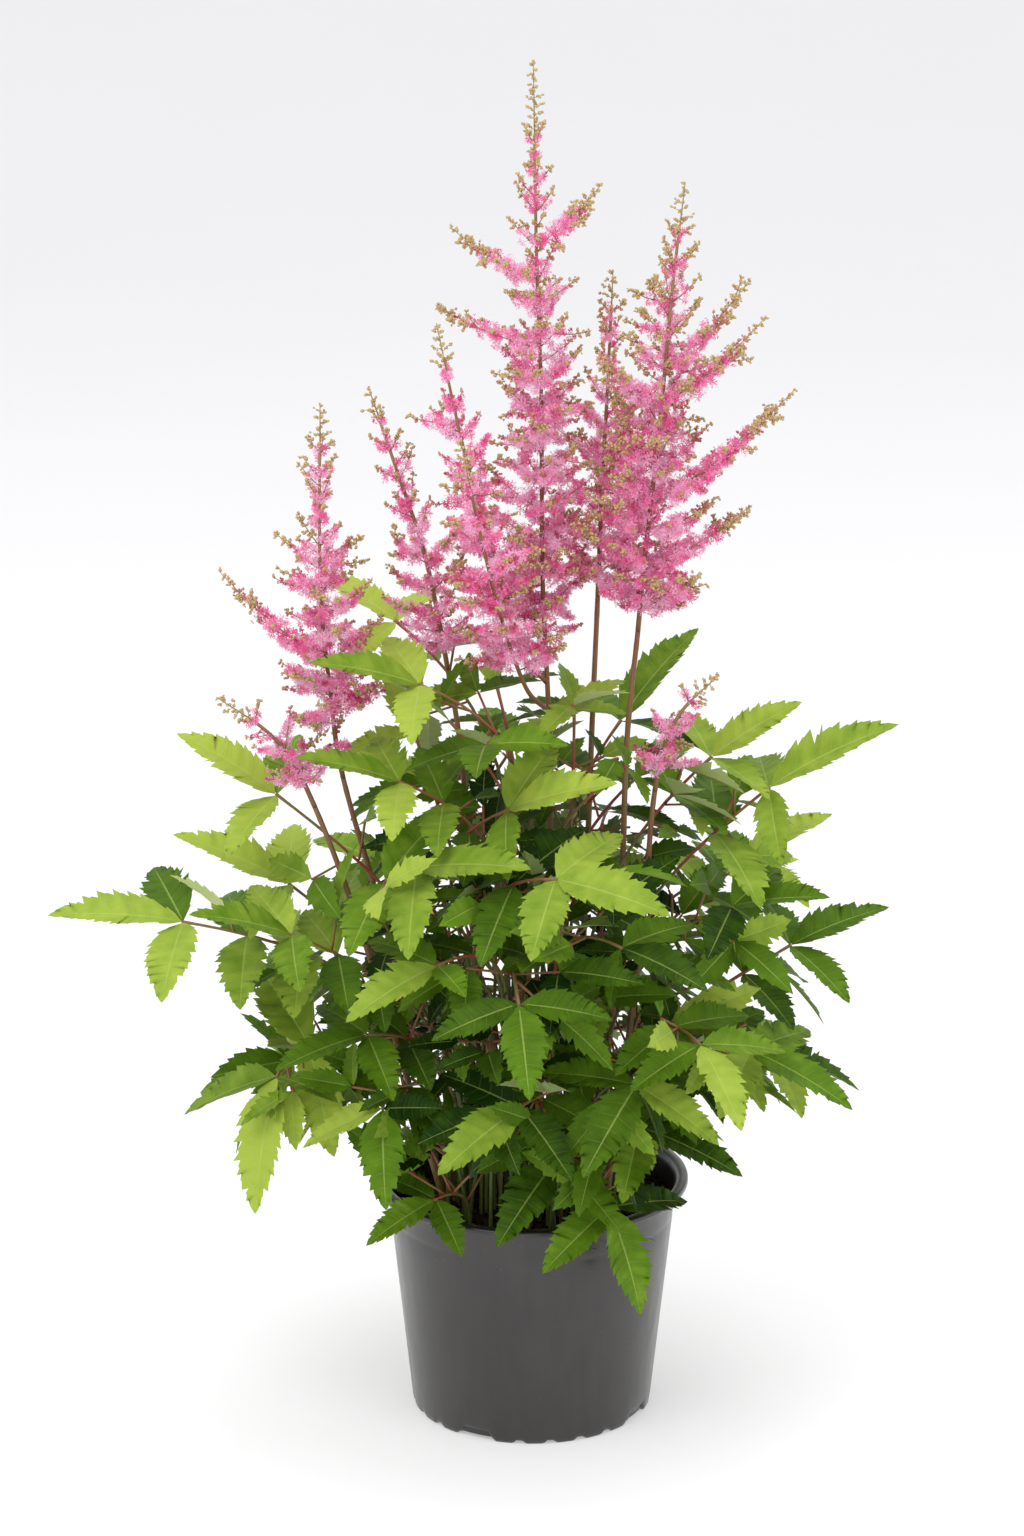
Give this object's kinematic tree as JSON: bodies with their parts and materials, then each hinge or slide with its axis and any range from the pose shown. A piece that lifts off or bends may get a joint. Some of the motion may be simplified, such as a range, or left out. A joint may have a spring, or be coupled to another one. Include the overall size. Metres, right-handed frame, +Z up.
{
  "type": "potted astilbe plant",
  "caption": "Flowering astilbe in a dark nursery pot, with feathery pink panicles on slim stalks over compound toothed leaves",
  "frame": {"origin": "middle of the pot's flat underside, on the surface that it stands on", "axes": "+Z up along the pot's axis and the tallest flower stalk; -Y towards the front, which the leaves face a little; +X to the right"},
  "size_m": [0.5024, 0.383, 0.829],
  "materials": {
    "pot_plastic": "matte charcoal moulded plastic",
    "soil": "moist dark peat",
    "stalk": "smooth olive to red-brown stem",
    "flower": "soft pink petals and tan buds",
    "leaf": "satin green leaf"
  },
  "bodies": {
    "root": {"pot": "pot_plastic", "soil": "soil", "stalk_centre": "stalk", "panicle_centre": "flower", "stalk_right": "stalk", "panicle_right": "flower", "stalk_left": "stalk", "panicle_left": "flower", "stalk_inner_left": "stalk", "panicle_inner_left": "flower", "stalk_behind": "stalk", "panicle_behind": "flower", "stalk_low_left": "stalk", "panicle_low_left": "flower", "stalk_low_right": "stalk", "panicle_low_right": "flower", "frond_far_left": "leaf", "frond_left_low": "leaf", "frond_left_mid": "leaf", "frond_left_high": "leaf", "frond_upper_left": "leaf", "frond_fan": "leaf", "frond_top_left": "leaf", "frond_top_small": "leaf", "frond_upright_left": "leaf", "frond_upright_right": "leaf", "frond_right_high_in": "leaf", "frond_right_high": "leaf", "frond_right_pale": "leaf", "frond_right_dark": "leaf", "frond_right_out": "leaf", "frond_right_low": "leaf", "frond_right_front": "leaf", "frond_front_right": "leaf", "frond_rim_right": "leaf", "frond_over_rim": "leaf", "frond_front_low": "leaf", "frond_rim_left": "leaf", "frond_hang_left": "leaf", "frond_droop_left": "leaf", "frond_front_mid": "leaf", "frond_front_high": "leaf", "frond_mid_right": "leaf", "frond_mid_left": "leaf", "frond_low_left": "leaf", "frond_low_mid": "leaf", "frond_high_mid": "leaf", "frond_far_1": "leaf", "frond_far_2": "leaf", "frond_far_3": "leaf", "frond_far_4": "leaf", "frond_far_5": "leaf", "frond_far_6": "leaf", "frond_far_7": "leaf", "frond_far_8": "leaf", "frond_far_9": "leaf", "frond_far_10": "leaf"}
  },
  "joints": []
}
